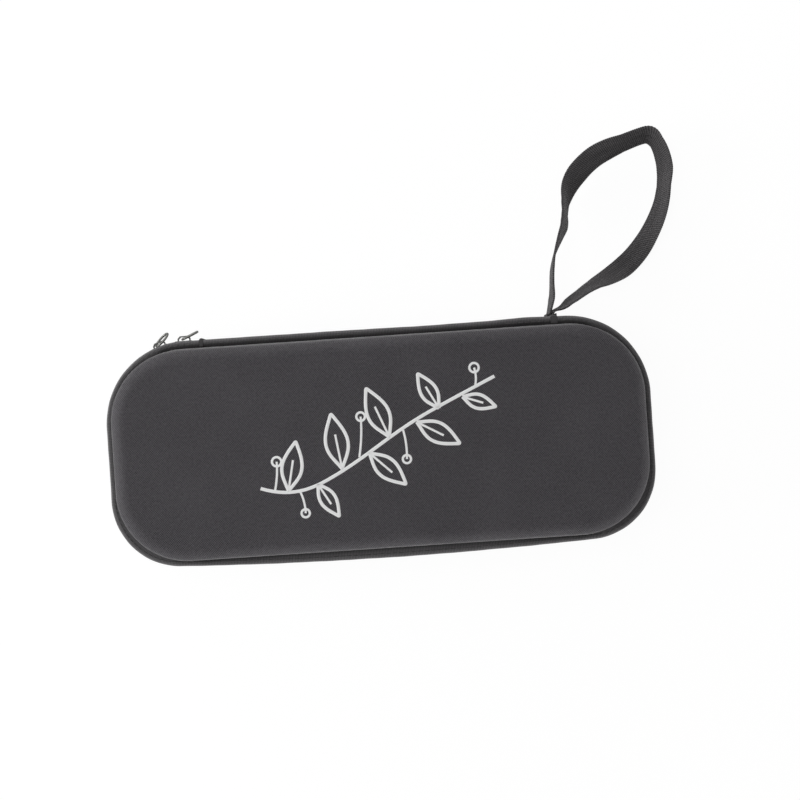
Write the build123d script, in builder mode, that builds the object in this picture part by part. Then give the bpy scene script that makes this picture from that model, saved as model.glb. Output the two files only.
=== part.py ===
from build123d import *
from math import atan2, cos, degrees, hypot, radians, sin, tan
import os

# A moulded foam hard case with a zip on three sides, a fabric hinge along the back and a
# webbing wrist strap. Millimetres. +X runs along the case, -Y is the side that opens, +Z is up.
# The origin is the middle of the flat underside.

# ---- driving dimensions: the two moulded shells ----
shell_length = 276.6
shell_width = 110.5
shell_corner_r = 38.0
case_height = 50.0
draft = 5.5
edge_r = 8.0
wall = 3.4
flange_t = 2.0
flange_edge_r = 0.8
foot_r = 0.9
flange_face_gap = 5.2
lining_t = 0.5
layer_gap = 0.05

# ---- the zip band round the rim: how far it stands out of the shells, and its corners ----
band_end_reach = 4.2
band_back_reach = 4.15
band_front_reach = 5.5
band_front_bow = 4.5
band_back_r = 43.0
band_front_r = 36.0

# ---- zip tape, coil and binding ----
tape_t = 0.75
tape_clearance = 0.05
tape_roll_r = 1.7
tape_lower_leaf = 0.7
crevice = 0.4
web_inset = 2.7
web_t = 0.7
web_low = 1.3
coil_inset = 0.5
coil_t = 2.1
coil_height = 2.9
coil_split = 0.2
coil_edge_r = 0.7
binding_t = 0.65
binding_inset = 3.6

# ---- fabric hinge along the back ----
hinge_left_inset = 53.4
hinge_right_inset = 49.9
hinge_lining_inset = 3.7
hinge_lining_t = 0.6
ridge_left_w = 2.2
ridge_right_w = 3.8
ridge_proud = 0.9
ridge_round_r = 0.9
ridge_gap = 0.1
axis_clearance = 0.1

# ---- sliders ----
chain_inset = 1.95
slider_length = 8.8
slider_head_half = 3.9
slider_tail_half = 3.4
slider_corner_r = 1.2
plate_t = 0.6
outer_plate_n = 1.6
inner_plate_n = -1.85
lip_n = -0.35
lip_t = 0.65
lip_length = 6.0
diamond_t = 1.4
diamond_half = 1.0
diamond_setback = 0.8
coil_stop = 1.4
slider_1_angle = 18.5
slider_2_angle = 1.0
slider_play = 0.4
bridge_span = 6.8
bridge_clear_height = 2.1
bridge_t = 0.65
bridge_width = 1.0
bridge_shoulder = 1.3

# ---- wire pulls: a ring of wire through each bridge ----
wire_r = 0.62
ring_r = 4.4
ring_along = -0.8
ring_out = 3.2
# How far the wire leans along the zip as it passes under the bridge, and how far the ring has
# dropped from straight out, in degrees.
pull_1_lean = 44.0
pull_1_swing = 57.0
pull_2_lean = 22.0
pull_2_swing = 66.0

# ---- inside the case ----
pocket_depth = 76.0
pocket_gap = 0.1
net_t = 0.4
hem_width = 7.0
hem_t = 1.2
pocket_tape_width = 3.2
pocket_tape_t = 0.5
elastic_width = 25.0
elastic_t = 1.2
elastic_rise = 2.4
elastic_length = 84.0
elastic_foot = 8.0
patch_width = 29.0
patch_t = 0.7

# ---- wrist strap ----
strap_width = 12.0
strap_t = 1.3
strap_sections = 72
root_depth = 1.2
root_t = 0.7
root_width = 13.2
root_left = -0.7
root_right = 4.8
root_drop = 7.0
# The strap's middle line from one end to the other, X and Y from where the fabric hinge ends
# and Z from the table, and how far it leans over from standing on edge, in degrees.
strap_route = [
    (1.0, 0.8, 18.0, 0),
    (3.5, 9.3, 18.0, -8),
    (3.9, 16.7, 17.6, -1),
    (5.4, 25.8, 16.2, 1),
    (7.1, 34.2, 14.2, 4),
    (10.5, 42.6, 11.8, 11),
    (13.7, 50.2, 9.6, 17),
    (15.0, 56.8, 8.2, 15),
    (16.1, 62.9, 6.9, 20),
    (18.7, 71.2, 5.2, 43),
    (24.3, 79.1, 3.6, 64),
    (32.8, 86.5, 2.9, 72),
    (41.2, 90.5, 4.0, 60),
    (49.5, 93.1, 4.9, 45),
    (57.9, 95.5, 5.4, 40),
    (63.9, 95.9, 5.6, 37),
    (67.6, 91.8, 5.7, 34),
    (70.0, 85.3, 5.7, 35),
    (71.0, 77.1, 5.5, 37),
    (69.8, 67.9, 5.8, 32),
    (68.1, 59.6, 5.6, 36),
    (64.7, 50.7, 5.2, 42),
    (59.8, 41.7, 4.6, 51),
    (53.9, 33.5, 3.7, 63),
    (46.0, 26.2, 3.4, 76),
    (36.4, 20.7, 6.6, 45),
    (27.2, 16.6, 10.2, 27),
    (20.1, 12.5, 13.2, 21),
    (13.3, 8.3, 16.0, 16),
    (8.6, 4.4, 17.6, 8),
    (3.0, 2.9, 18.0, 2),
    (2.9, 0.8, 18.0, 0),
]

# ---- worked out from the above ----
parting_z = case_height / 2
parting = Plane.XY.offset(parting_z)
flange_low = parting_z + flange_face_gap
flange_top = flange_low + flange_t
tape_top = flange_top + tape_t
tape_low = flange_low - tape_lower_leaf
half_length = shell_length / 2 + band_end_reach
back_y = shell_width / 2 + band_back_reach
front_y = -(shell_width / 2 + band_front_reach)
slope = tan(radians(draft))
cavity_inset = wall / cos(radians(draft)) - flange_t * slope
corner_x = -(half_length - band_back_r)
corner_y = back_y - band_back_r
chain_r = band_back_r - chain_inset
axis_y = back_y + ridge_proud + axis_clearance
hinge_x = (hinge_left_inset - half_length, half_length - hinge_right_inset)
zip_x = (hinge_x[0] - ridge_left_w, hinge_x[1] + ridge_right_w)

os.makedirs("parts", exist_ok=True)


def finish(piece, name):
    """Label a finished piece and write it under its own name."""
    piece.part.label = name
    export_step(piece.part, f"parts/{name}.step")


# The band's outline at the rim: straight back and ends, a front that bows out a little.
with BuildSketch() as band_plan:
    with BuildLine():
        Line((-half_length, back_y), (half_length, back_y))
        Line((half_length, back_y), (half_length, front_y + band_front_bow))
        ThreePointArc(
            (half_length, front_y + band_front_bow),
            (0, front_y),
            (-half_length, front_y + band_front_bow),
        )
        Line((-half_length, front_y + band_front_bow), (-half_length, back_y))
    make_face()
    fillet(vertices().group_by(Axis.Y)[-1], radius=band_back_r)
    fillet(vertices().filter_by(lambda v: v.Y < front_y + 2 * band_front_bow), radius=band_front_r)
band = band_plan.sketch


def band_area(inset, mode=Mode.ADD):
    """The band's outline drawn in by inset, in the open sketch."""
    offset(band, amount=-inset, mode=mode)


def rim_area(inset, mode=Mode.ADD):
    """The shells' rim outline drawn in by inset, in the open sketch."""
    RectangleRounded(
        shell_length - 2 * inset, shell_width - 2 * inset, shell_corner_r - inset, mode=mode
    )


def back_cut(x_range, low, high, mode=Mode.SUBTRACT):
    """A block over the back of the rim between two X positions, in the open part."""
    with BuildSketch(Plane.XY.offset(low)) as area:
        with Locations(((x_range[0] + x_range[1]) / 2, back_y)):
            Rectangle(x_range[1] - x_range[0], band_back_r)
    extrude(area.sketch, amount=high - low, mode=mode)


def cavity_block(inset, ceiling):
    """A drafted block with a rounded top that fills the shell's hollow, less inset."""
    with BuildPart() as block:
        with BuildSketch(Plane.XY.offset(flange_low)):
            rim_area(cavity_inset + inset)
        extrude(amount=ceiling - flange_low, taper=draft)
        fillet(faces().sort_by(Axis.Z)[-1].edges(), edge_r - wall - inset)
    return block.part


# ---- shells ----
with BuildPart() as lid_shell:
    with BuildSketch(Plane.XY.offset(flange_top)):
        rim_area(0)
    extrude(amount=case_height - flange_top, taper=draft)
    fillet(faces().sort_by(Axis.Z)[-1].edges(), edge_r)
    with BuildSketch(Plane.XY.offset(flange_low)):
        band_area(tape_t + tape_clearance)
    extrude(amount=flange_t)
    add(cavity_block(0, case_height - wall), mode=Mode.SUBTRACT)
finish(lid_shell, "lid_shell")

with BuildPart() as base_shell:
    mirror(lid_shell.part, about=parting)
finish(base_shell, "base_shell")

with BuildPart() as lid_lining:
    add(cavity_block(layer_gap, case_height - wall - layer_gap))
    add(cavity_block(layer_gap + lining_t, case_height - wall - layer_gap - lining_t),
        mode=Mode.SUBTRACT)
finish(lid_lining, "lid_lining")

with BuildPart() as base_lining:
    mirror(lid_lining.part, about=parting)
finish(base_lining, "base_lining")

with BuildPart() as lid_binding:
    with BuildSketch(Plane.XY.offset(flange_low - layer_gap - binding_t)):
        band_area(binding_inset)
        rim_area(cavity_inset + layer_gap + lining_t, mode=Mode.SUBTRACT)
    extrude(amount=binding_t)
finish(lid_binding, "lid_binding")

with BuildPart() as base_binding:
    mirror(lid_binding.part, about=parting)
finish(base_binding, "base_binding")


# ---- zip tape and coil ----
def rolled_edge(low, high):
    """The fabric that rolls over a flange's edge, all round the band, from low to high."""
    with BuildPart() as roll:
        with BuildSketch(Plane.XY.offset(low)):
            band_area(0)
        extrude(amount=high - low)
        fillet(faces().sort_by(Axis.Z)[-1].edges() + faces().sort_by(Axis.Z)[0].edges(),
               tape_roll_r)
    return roll.part


with BuildPart() as upper_tape:
    add(rolled_edge(tape_low, tape_top))
    with BuildSketch(Plane.XY.offset(flange_low - layer_gap)):
        band_area(tape_t)
    extrude(amount=flange_t + 2 * layer_gap, mode=Mode.SUBTRACT)
    with BuildSketch(Plane.XY.offset(tape_low)):
        band_area(web_inset + web_t)
    extrude(amount=flange_low - tape_low, mode=Mode.SUBTRACT)
    with BuildSketch(Plane.XY.offset(flange_top)):
        rim_area(-crevice)
    extrude(amount=tape_top - flange_top, mode=Mode.SUBTRACT)
    with BuildSketch(Plane.XY.offset(parting_z + web_low)):
        band_area(web_inset)
        band_area(web_inset + web_t, mode=Mode.SUBTRACT)
    extrude(amount=tape_low - parting_z - web_low)
    back_cut(zip_x, parting_z, tape_top)

with BuildPart() as upper_coil:
    with BuildSketch(Plane.XY.offset(parting_z + coil_split)):
        band_area(coil_inset)
        band_area(coil_inset + coil_t, mode=Mode.SUBTRACT)
    extrude(amount=coil_height)
    back_cut(zip_x, parting_z, tape_top)

chain_reach = slider_length / 2 + slider_play


def chain_point(angle, r=chain_r):
    """A point round the back left corner, angle degrees from straight back."""
    return (corner_x - r * sin(radians(angle)), corner_y + r * cos(radians(angle)))


slot_left = chain_point(slider_1_angle + degrees(chain_reach / chain_r))[0] - plate_t
slot_right = chain_point(slider_2_angle)[0] + chain_reach
heads_left = chain_point(slider_1_angle - degrees(coil_stop / chain_r))[0]
heads_right = chain_point(slider_2_angle + degrees(coil_stop / chain_r))[0]

with BuildPart() as zip_tape_upper:
    add(upper_tape.part)
    back_cut((slot_left, slot_right), parting_z, tape_low)
finish(zip_tape_upper, "zip_tape_upper")

with BuildPart() as zip_coil_upper:
    add(upper_coil.part)
    back_cut((slot_left, slot_right), parting_z, tape_low)
finish(zip_coil_upper, "zip_coil_upper")

with BuildPart() as zip_tape_lower:
    mirror(upper_tape.part, about=parting)
finish(zip_tape_lower, "zip_tape_lower")

with BuildPart() as zip_coil_lower:
    mirror(upper_coil.part, about=parting)
    back_cut((heads_left, heads_right), case_height - tape_low, parting_z)
finish(zip_coil_lower, "zip_coil_lower")

# ---- fabric hinge: an outer strip over both flanges, an inner strip, and the end seams ----
with BuildPart() as hinge_strip:
    add(rolled_edge(case_height - tape_top, tape_top))
    with BuildSketch(Plane.XY.offset(case_height - flange_top - layer_gap)):
        band_area(tape_t)
    extrude(amount=2 * flange_top - case_height + 2 * layer_gap, mode=Mode.SUBTRACT)
    with BuildSketch(Plane.XY.offset(case_height - tape_top)):
        rim_area(-crevice)
    extrude(amount=2 * tape_top - case_height, mode=Mode.SUBTRACT)
    back_cut(hinge_x, case_height - tape_top, tape_top, mode=Mode.INTERSECT)
finish(hinge_strip, "hinge_strip")

with BuildPart() as hinge_lining:
    with BuildSketch(Plane.XY.offset(case_height - flange_low + 2 * layer_gap + binding_t)):
        band_area(hinge_lining_inset)
        band_area(hinge_lining_inset + hinge_lining_t, mode=Mode.SUBTRACT)
    extrude(amount=2 * (flange_low - parting_z - 2 * layer_gap - binding_t))
    back_cut(hinge_x, parting_z - tape_top / 2, tape_top, mode=Mode.INTERSECT)
finish(hinge_lining, "hinge_lining")

with BuildPart() as lid_seam_ridges:
    with BuildSketch(Plane.XY.offset(parting_z + coil_split)) as ridge_plan:
        for low_x, high_x in ((zip_x[0], hinge_x[0]), (hinge_x[1], zip_x[1])):
            with Locations(((low_x + high_x) / 2, back_y - tape_t)):
                Rectangle(
                    high_x - low_x - 2 * ridge_gap,
                    tape_t + ridge_proud,
                    align=(Align.CENTER, Align.MIN),
                )
        fillet(vertices().group_by(Axis.Y)[-1], radius=ridge_round_r)
    extrude(amount=tape_top - parting_z - coil_split - tape_roll_r / 2)
finish(lid_seam_ridges, "lid_seam_ridges")

with BuildPart() as base_seam_ridges:
    mirror(lid_seam_ridges.part, about=parting)
finish(base_seam_ridges, "base_seam_ridges")


# ---- sliders and their pulls ----
def slider_plane(angle):
    """A slider's own frame: X along the zip, Y out of the case, Z up, origin in the chain."""
    a = radians(angle)
    return Plane(
        origin=(*chain_point(angle), parting_z), x_dir=(cos(a), sin(a), 0), z_dir=(0, 0, 1)
    )


def face_plane(angle, out):
    """The plane that faces out of the case at this height over the chain: X along the zip."""
    at = slider_plane(angle)
    return Plane(origin=at.from_local_coords((0, out, 0)), x_dir=at.x_dir, z_dir=at.y_dir)


def slider_body(angle, head):
    """Two plates with lips, joined by the diamond at the head. head is +1 or -1 along the zip."""
    half = slider_length / 2
    with BuildPart() as body:
        for out in (outer_plate_n, inner_plate_n - plate_t):
            with BuildSketch(face_plane(angle, out)) as plate:
                Polygon(
                    (head * half, slider_head_half),
                    (head * half, -slider_head_half),
                    (-head * half, -slider_tail_half),
                    (-head * half, slider_tail_half),
                    align=None,
                )
                fillet(vertices(), radius=slider_corner_r)
            extrude(plate.sketch, amount=plate_t)
        with BuildSketch(face_plane(angle, lip_n)) as lips:
            with Locations((0, slider_head_half - lip_t / 2), (0, lip_t / 2 - slider_head_half)):
                Rectangle(lip_length, lip_t)
        extrude(lips.sketch, amount=outer_plate_n - lip_n)
        with BuildSketch(face_plane(angle, inner_plate_n)) as diamond:
            with Locations((head * (half - diamond_setback - diamond_t / 2), 0)):
                Rectangle(diamond_t, 2 * diamond_half)
        extrude(diamond.sketch, amount=outer_plate_n - inner_plate_n)
    return body.part


def slider_bridge(angle):
    """The strap over the outer plate that holds the pull."""
    with BuildPart() as strap:
        with BuildSketch(slider_plane(angle)) as profile:
            for inset, mode in ((0, Mode.ADD), (bridge_t, Mode.SUBTRACT)):
                half = bridge_span / 2 - inset
                foot = outer_plate_n + plate_t
                top = foot + bridge_clear_height + bridge_t - inset
                shoulder = bridge_shoulder - inset / 3
                Polygon(
                    (-half, foot),
                    (half, foot),
                    (half, top - shoulder),
                    (half - shoulder, top),
                    (shoulder - half, top),
                    (-half, top - shoulder),
                    align=None,
                    mode=mode,
                )
        extrude(profile.sketch, amount=bridge_width / 2, both=True)
    return strap.part


def ring_frame(angle, lean, swing):
    """The pull's swing line: its middle, its direction, and the way the ring lies from it."""
    at = slider_plane(angle)
    axis = at.x_dir * sin(radians(lean)) + at.z_dir * cos(radians(lean))
    lie = at.y_dir.rotate(Axis((0, 0, 0), axis), -swing)
    return at.from_local_coords((ring_along, ring_out, 0)), axis, lie


def wire_pull(angle, lean, swing):
    """A closed ring of wire held by the bridge."""
    middle, axis, lie = ring_frame(angle, lean, swing)
    with BuildPart(Plane(origin=middle + lie * ring_r, x_dir=lie, z_dir=axis.cross(lie))) as pull:
        Torus(ring_r, wire_r)
    return pull.part


with BuildPart() as slider_1:
    add(slider_body(slider_1_angle, 1))
finish(slider_1, "slider_1")

with BuildPart() as slider_2:
    add(slider_body(slider_2_angle, -1))
finish(slider_2, "slider_2")

with BuildPart() as slider_1_bridge:
    add(slider_bridge(slider_1_angle))
finish(slider_1_bridge, "slider_1_bridge")

with BuildPart() as slider_2_bridge:
    add(slider_bridge(slider_2_angle))
finish(slider_2_bridge, "slider_2_bridge")

with BuildPart() as pull_1:
    add(wire_pull(slider_1_angle, pull_1_lean, pull_1_swing))
finish(pull_1, "pull_1")

with BuildPart() as pull_2:
    add(wire_pull(slider_2_angle, pull_2_lean, pull_2_swing))
finish(pull_2, "pull_2")

# ---- mesh pocket in the lid ----
mouth_z = flange_low + layer_gap
pocket_inset = cavity_inset + layer_gap + lining_t + pocket_gap
pocket_back_y = shell_width / 2 - pocket_inset
pocket_front_y = pocket_back_y - pocket_depth


def pocket_area(inset, mode=Mode.ADD):
    """The back part of the lid's mouth, drawn in by inset, in the open sketch."""
    rim_area(pocket_inset + inset, mode=mode)


with BuildPart() as pocket_binding:
    with BuildSketch(Plane.XY.offset(mouth_z)):
        pocket_area(0)
        pocket_area(pocket_tape_width, mode=Mode.SUBTRACT)
        with Locations((0, pocket_front_y)):
            Rectangle(shell_length, shell_width, align=(Align.CENTER, Align.MAX), mode=Mode.SUBTRACT)
    extrude(amount=pocket_tape_t)
finish(pocket_binding, "pocket_binding")

with BuildPart() as mesh_pocket:
    with BuildSketch(Plane.XY.offset(mouth_z + pocket_tape_t)):
        pocket_area(pocket_gap)
        with Locations((0, pocket_front_y + hem_width)):
            Rectangle(shell_length, shell_width, align=(Align.CENTER, Align.MAX), mode=Mode.SUBTRACT)
    extrude(amount=net_t)
finish(mesh_pocket, "mesh_pocket")

with BuildPart() as pocket_hem:
    with BuildSketch(Plane.XY.offset(mouth_z + pocket_tape_t + net_t - hem_t)):
        pocket_area(pocket_tape_width + pocket_gap)
        with Locations((0, pocket_front_y)):
            Rectangle(
                shell_length, hem_width, align=(Align.CENTER, Align.MIN), mode=Mode.INTERSECT
            )
    extrude(amount=hem_t)
finish(pocket_hem, "pocket_hem")

# ---- elastic band across the base ----
floor_z = wall + layer_gap + lining_t
with BuildPart() as elastic_patches:
    with BuildSketch(Plane.XY.offset(floor_z)):
        with Locations((0, (elastic_length - elastic_foot) / 2),
                       (0, (elastic_foot - elastic_length) / 2)):
            Rectangle(patch_width, elastic_foot)
    extrude(amount=patch_t)
finish(elastic_patches, "elastic_patches")

with BuildPart() as elastic_band:
    with BuildSketch(Plane.YZ) as profile:
        with BuildLine():
            half = elastic_length / 2
            low = floor_z + patch_t
            high = low + elastic_t
            flat = half - elastic_foot
            Line((-half, low), (-flat, low))
            ThreePointArc((-flat, low), (0, low + elastic_rise), (flat, low))
            Line((flat, low), (half, low))
            Line((half, low), (half, high))
            Line((half, high), (flat, high))
            ThreePointArc((flat, high), (0, high + elastic_rise), (-flat, high))
            Line((-flat, high), (-half, high))
            Line((-half, high), (-half, low))
        make_face()
    extrude(profile.sketch, amount=elastic_width / 2, both=True)
finish(elastic_band, "elastic_band")

# ---- wrist strap and the tab that holds its ends ----
root_x = hinge_x[1] + (root_left + root_right) / 2
root_y = back_y + ridge_proud
root_z = parting_z - root_drop


def strap_height(z):
    """A route height, carried up or down with the root near the case and left alone near the table."""
    return z + (root_z - strap_route[0][2]) * (z / strap_route[0][2]) ** 3


with BuildPart() as strap_root:
    with BuildSketch(Plane.XY.offset(root_z - root_width / 2)) as tab:
        with Locations((root_x, root_y)):
            Rectangle((root_right - root_left), root_depth, align=(Align.CENTER, Align.MIN))
        with Locations((root_x, root_y + root_t)):
            Rectangle(
                (root_right - root_left) - 2 * root_t,
                root_depth,
                align=(Align.CENTER, Align.MIN),
                mode=Mode.SUBTRACT,
            )
    extrude(tab.sketch, amount=root_width)
finish(strap_root, "strap_root")

with BuildLine() as strap_line:
    Spline(
        *[(hinge_x[1] + x, root_y + y, strap_height(z)) for x, y, z, _ in strap_route],
        tangents=((0, 1, 0), (0, -1, 0)),
    )
path = strap_line.wire()
reach = [0.0]
for (x0, y0, z0, _), (x1, y1, z1, _) in zip(strap_route, strap_route[1:]):
    reach.append(reach[-1] + hypot(x1 - x0, y1 - y0, z1 - z0))


def strap_lean(share):
    """The lean at this share of the strap's length, between the two nearest route points."""
    at = share * reach[-1]
    for i in range(len(reach) - 1):
        if at <= reach[i + 1]:
            break
    part = (at - reach[i]) / (reach[i + 1] - reach[i])
    return strap_route[i][3] + part * (strap_route[i + 1][3] - strap_route[i][3])


with BuildPart() as wrist_strap:
    for i in range(strap_sections + 1):
        share = i / strap_sections
        along = path.tangent_at(share)
        side = Vector(0, 0, 1).cross(along).normalized()
        lean = radians(strap_lean(share))
        across = along.cross(side) * cos(lean) + side * sin(lean)
        with BuildSketch(Plane(origin=path.position_at(share), x_dir=across, z_dir=along)):
            Rectangle(strap_width, strap_t)
    loft(ruled=True)
finish(wrist_strap, "wrist_strap")
print("strap length", round(path.length, 1), "volume", round(wrist_strap.part.volume),
      "section times length", round(strap_width * strap_t * path.length))
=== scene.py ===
"""A zipped hard case for a stethoscope: its cloth, zip, linings, net, strap and print."""

import math

import bmesh
import bpy
import numpy as np
from mathutils import Matrix, Vector


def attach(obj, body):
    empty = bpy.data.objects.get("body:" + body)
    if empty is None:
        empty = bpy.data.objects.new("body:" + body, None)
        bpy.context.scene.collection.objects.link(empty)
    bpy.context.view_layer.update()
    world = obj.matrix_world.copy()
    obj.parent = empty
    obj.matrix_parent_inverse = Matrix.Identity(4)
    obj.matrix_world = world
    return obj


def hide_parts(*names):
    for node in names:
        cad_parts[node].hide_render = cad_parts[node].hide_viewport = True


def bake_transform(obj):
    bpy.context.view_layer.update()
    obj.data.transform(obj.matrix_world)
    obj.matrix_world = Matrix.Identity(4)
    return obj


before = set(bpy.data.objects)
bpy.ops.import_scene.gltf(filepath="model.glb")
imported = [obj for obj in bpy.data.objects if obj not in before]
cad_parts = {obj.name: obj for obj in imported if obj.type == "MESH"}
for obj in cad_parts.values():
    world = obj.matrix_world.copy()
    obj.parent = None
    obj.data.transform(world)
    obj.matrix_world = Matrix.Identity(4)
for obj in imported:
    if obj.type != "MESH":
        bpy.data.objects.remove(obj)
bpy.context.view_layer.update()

# Sizes and places are in mm in the case's own frame, and MM turns them into metres.
MM = 0.001
PARTING = 25.0  # height of the plane where the lid meets the base
RIM = (276.6, 110.5, 38.0)  # the shells' mouth: length, depth and corner radius
SHELL_FLOOR = 3.4  # how thick the lid's top and the base's bottom are
BAND_HALF_X = 142.5  # how far the zip band reaches to either end
BACK_Y = 59.4  # the band's straight back
BACK_CORNER_R, FRONT_CORNER_R = 43.0, 36.0
BACK_CORNER_X, BACK_CORNER_Y = BAND_HALF_X - BACK_CORNER_R, BACK_Y - BACK_CORNER_R
FRONT_CORNER_X = BAND_HALF_X - FRONT_CORNER_R
FRONT_BOW_R, FRONT_BOW_Y = 2258.5, 2197.75  # the shallow bow along the front, and its centre
ZIP_LEFT_X, ZIP_RIGHT_X = -91.3, 96.4  # where the zip's two ends stop along the back
HINGE_LEFT_X, HINGE_RIGHT_X = -89.1, 92.6  # the ends of the hinge cloth
SLIDER_SLOT = (-117.6, -95.4)  # the stretch of the zip that the parked sliders take up


# ---------------------------------------------------------------- materials
def new_surface(name, colour, rough, **sockets):
    """A principled material with its plain numbers set on the shader's own sockets."""
    material = bpy.data.materials.new(name)
    material.use_nodes = True
    shader = material.node_tree.nodes["Principled BSDF"]
    shader.inputs["Base Color"].default_value = (*colour, 1)
    shader.inputs["Roughness"].default_value = rough
    for socket, value in sockets.items():
        shader.inputs[socket.replace("_", " ")].default_value = value
    return material


def node(material, kind, **inputs):
    """Adds a node. Inputs named i0, i1 ... are sockets by place; other names are settings."""
    made = material.node_tree.nodes.new(kind)
    for name, value in inputs.items():
        if name[0] == "i" and name[1:].isdigit():
            socket = made.inputs[int(name[1:])]
            if isinstance(value, bpy.types.NodeSocket):
                material.node_tree.links.new(value, socket)
            else:
                socket.default_value = value
        else:
            setattr(made, name, value)
    return made


def calc(material, operation, a, b=0.0, c=0.5):
    """One step of arithmetic on values or sockets. Only MULTIPLY_ADD reads the third."""
    return node(material, "ShaderNodeMath", operation=operation, i0=a, i1=b, i2=c).outputs[0]


def place_on(material, layer=None):
    """Object coordinates in metres, or the piece's own cloth map."""
    if layer:
        return node(material, "ShaderNodeUVMap", uv_map=layer).outputs[0]
    return node(material, "ShaderNodeTexCoord").outputs["Object"]


def threads(material, along, pitch_mm):
    """A row of round threads: 0 in the gaps and 1 on the crowns."""
    turn = calc(material, "MULTIPLY", along, 2 * math.pi / (pitch_mm * MM))
    return calc(material, "MULTIPLY_ADD", calc(material, "SINE", turn), 0.5, 0.5)


def cloud(material, where, scale, detail=3.0, stretch=None):
    """Soft uneven patches, drawn out along an axis if stretch is given."""
    if stretch:
        where = node(material, "ShaderNodeVectorMath", operation="MULTIPLY", i0=where, i1=stretch).outputs[0]
    noise = node(material, "ShaderNodeTexNoise", i0=where)
    noise.inputs["Scale"].default_value = scale
    noise.inputs["Detail"].default_value = detail
    return noise.outputs[0]


def finish_surface(material, height, depth_mm, tint, shades, rough=None):
    """Ends a material: bump from height, colour between two shades by tint, and roughness too."""
    tree = material.node_tree
    shader = tree.nodes["Principled BSDF"]
    bump = node(material, "ShaderNodeBump")
    bump.inputs["Distance"].default_value = depth_mm * MM
    bump.inputs["Strength"].default_value = 1.0
    tree.links.new(height, bump.inputs["Height"])
    tree.links.new(bump.outputs[0], shader.inputs["Normal"])
    ramp = node(material, "ShaderNodeValToRGB", i0=tint)
    for stop, shade, position in zip(ramp.color_ramp.elements, shades, (0.25, 0.75)):
        stop.color = (*shade, 1)
        stop.position = position
    tree.links.new(ramp.outputs[0], shader.inputs["Base Color"])
    if rough is not None:
        spread = node(material, "ShaderNodeMapRange", i0=tint)
        spread.inputs["To Min"].default_value = rough[0]
        spread.inputs["To Max"].default_value = rough[1]
        tree.links.new(spread.outputs[0], shader.inputs["Roughness"])
    return material


def paint_shade_from(material, distance, dark_mm, clear_mm, left):
    """Paints shade into a material's colour where distance is small, as where two layers meet."""
    shader = material.node_tree.nodes["Principled BSDF"]
    colour = shader.inputs["Base Color"].links[0].from_socket
    near, far = dark_mm * MM, clear_mm * MM
    fade = node(material, "ShaderNodeMapRange", i0=distance, i1=near, i2=far, i3=left, i4=1.0)
    deep = node(material, "ShaderNodeVectorMath", operation="SCALE", i0=colour)
    material.node_tree.links.new(fade.outputs[0], deep.inputs["Scale"])
    material.node_tree.links.new(deep.outputs[0], shader.inputs["Base Color"])
    return material


def past(material, axis, reach):
    """How far a place is beyond this reach to either side, in metres, and 0 within it."""
    return calc(material, "MAXIMUM", calc(material, "SUBTRACT", calc(material, "ABSOLUTE", axis), reach), 0.0)


SHELL_SHADES = ((0.006, 0.005, 0.007), (0.088, 0.083, 0.091))
WARP_MM, WEFT_MM = 1.18, 1.24
SHELL_ENDS_FROM, BAND_ENDS_FROM = 0.122, 0.11  # where the case starts to round, in metres


def shell_nylon():
    """Plain woven nylon bonded over moulded foam: threads cross over and under on every side."""
    sheen = {"Sheen_Weight": 0.36, "Sheen_Roughness": 0.24, "Specular_IOR_Level": 0.25}
    m = new_surface("shell_nylon", (0.055, 0.052, 0.058), 0.62, **sheen)
    where = place_on(m)
    facing = node(m, "ShaderNodeSeparateXYZ", i0=node(m, "ShaderNodeTexCoord").outputs["Normal"])
    flat = calc(m, "GREATER_THAN", calc(m, "ABSOLUTE", facing.outputs[2]), 0.6)
    x, y, z = node(m, "ShaderNodeSeparateXYZ", i0=where).outputs
    corner = calc(m, "SIGN", calc(m, "MULTIPLY", x, y))
    round_the_side = calc(m, "SUBTRACT", x, calc(m, "MULTIPLY", corner, y))
    warp_at = node(m, "ShaderNodeMix", i0=flat, i2=round_the_side, i3=x).outputs[0]
    weft_at = node(m, "ShaderNodeMix", i0=flat, i2=z, i3=y).outputs[0]
    warp = calc(m, "SUBTRACT", threads(m, warp_at, WARP_MM), 0.5)
    weft = calc(m, "SUBTRACT", threads(m, weft_at, WEFT_MM), 0.5)
    cross = calc(m, "MULTIPLY_ADD", calc(m, "MULTIPLY", warp, weft), 2.0, 0.5)
    slub = cloud(m, where, 800, 2.0)
    mottle = cloud(m, where, 32, 4.0)
    uneven = calc(m, "ADD", calc(m, "MULTIPLY", slub, 0.34), calc(m, "MULTIPLY", mottle, 0.16))
    tint = calc(m, "ADD", calc(m, "MULTIPLY", cross, 0.5), uneven)
    height = calc(m, "ADD", cross, calc(m, "MULTIPLY", slub, 0.7))
    made = finish_surface(m, height, 0.13, tint, SHELL_SHADES)
    # deep in shade where the shell meets the band, and less so on the rounded ends
    rise = calc(m, "ABSOLUTE", calc(m, "SUBTRACT", z, PARTING * MM))
    eased = calc(m, "MULTIPLY", past(m, x, SHELL_ENDS_FROM), 0.06)
    return paint_shade_from(made, calc(m, "ADD", rise, eased), dark_mm=7.4, clear_mm=8.6, left=0.08)


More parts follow.
